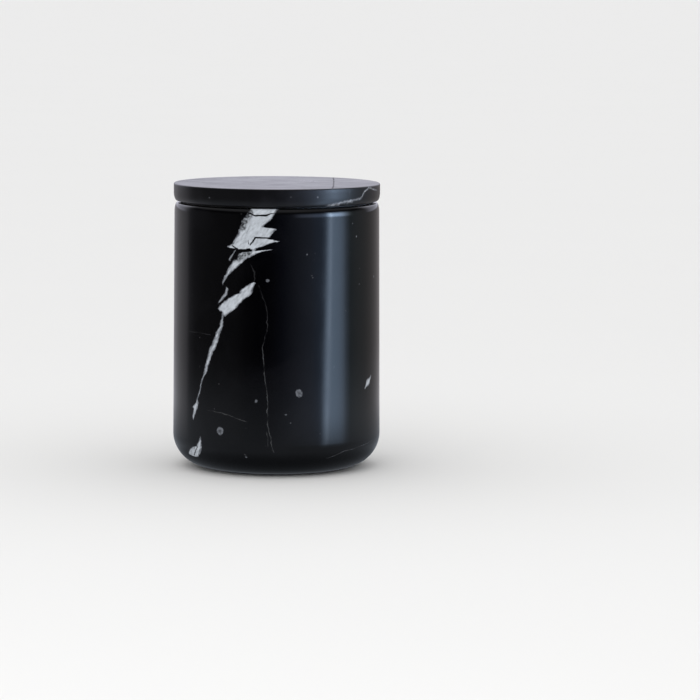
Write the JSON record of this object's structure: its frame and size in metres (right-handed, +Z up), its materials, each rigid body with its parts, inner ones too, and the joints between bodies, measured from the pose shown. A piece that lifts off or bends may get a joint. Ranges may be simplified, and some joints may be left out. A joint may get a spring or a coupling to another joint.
{
  "type": "cosmetic cream jar",
  "caption": "Lidded round jar turned from polished black marble, with a gasketed lift-off lid, a sealing disc and a lift-out liner that holds the cream.",
  "frame": {"origin": "centre of the base, on the surface that the jar stands on", "axes": "+Z up along the jar's turning axis, +Y away from the side that shows the large white vein"},
  "size_m": [0.0848, 0.0848, 0.116],
  "materials": {
    "marble_body": "polished black marble with white veins",
    "marble_lid": "polished black marble with one thin white vein",
    "gasket_silicone": "matt black silicone",
    "liner_plastic": "white polypropylene, satin gloss",
    "disc_plastic": "milky polyethylene film, satin",
    "pad_rubber": "fine-grained dark rubber"
  },
  "bodies": {
    "jar": {"jar_body": "marble_body", "base_pad": "pad_rubber"},
    "cup": {"inner_cup": "liner_plastic"},
    "disc": {"sealing_disc": "disc_plastic"},
    "seal": {"lid_gasket": "gasket_silicone"},
    "lid": {"lid": "marble_lid"}
  },
  "joints": [
    {"name": "cup_lift", "type": "slide", "parent": "jar", "child": "cup", "axis": [0, 0, 1], "range_m": [0, 0.11]},
    {"name": "disc_lift", "type": "slide", "parent": "cup", "child": "disc", "axis": [0, 0, 1], "range_m": [0, 0.025]},
    {"name": "lid_lift", "type": "slide", "parent": "disc", "child": "seal", "axis": [0, 0, 1], "range_m": [0, 0.04]},
    {"name": "lid_turn", "type": "hinge", "parent": "seal", "child": "lid", "pos_m": [0, 0, 0.1], "axis": [0, 0, 1], "continuous": true}
  ]
}
